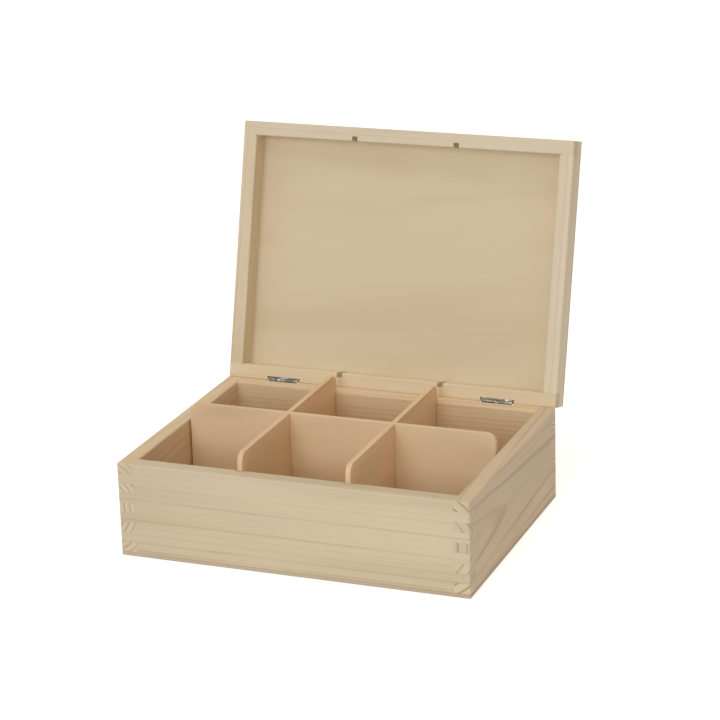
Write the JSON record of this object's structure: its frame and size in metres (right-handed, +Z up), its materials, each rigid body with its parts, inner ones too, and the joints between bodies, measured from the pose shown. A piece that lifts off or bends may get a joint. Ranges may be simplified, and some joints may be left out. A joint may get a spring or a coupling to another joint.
{
  "type": "tea bag organizer box",
  "caption": "Pine tea bag box with a hinged lid and cross-lapped plywood dividers that make six compartments, lid open.",
  "frame": {"origin": "centre of the underside of the box", "axes": "+Z up, the front faces -Y, +X to the right seen from the front"},
  "size_m": [0.22, 0.2235, 0.2178],
  "materials": {
    "pine": "sanded, unfinished",
    "plywood": "sanded, unfinished",
    "steel": "nickel-plated, satin"
  },
  "bodies": {
    "box": {"front_board": "pine", "back_board": "pine", "left_board": "pine", "right_board": "pine", "bottom_panel": "plywood", "long_divider": "plywood", "short_divider_left": "plywood", "short_divider_right": "plywood", "hinge_left_body_leaf": "steel", "hinge_left_pin": "steel", "hinge_right_body_leaf": "steel", "hinge_right_pin": "steel"},
    "lid": {"lid_front_rail": "pine", "lid_back_rail": "pine", "lid_left_rail": "pine", "lid_right_rail": "pine", "lid_panel": "plywood", "hinge_left_lid_leaf": "steel", "hinge_right_lid_leaf": "steel"}
  },
  "joints": [
    {"name": "lid_hinge", "type": "hinge", "parent": "box", "child": "lid", "pos_m": [0, 0.08205, 0.05915], "axis": [1, 0, 0], "range_deg": [0, 105]}
  ]
}
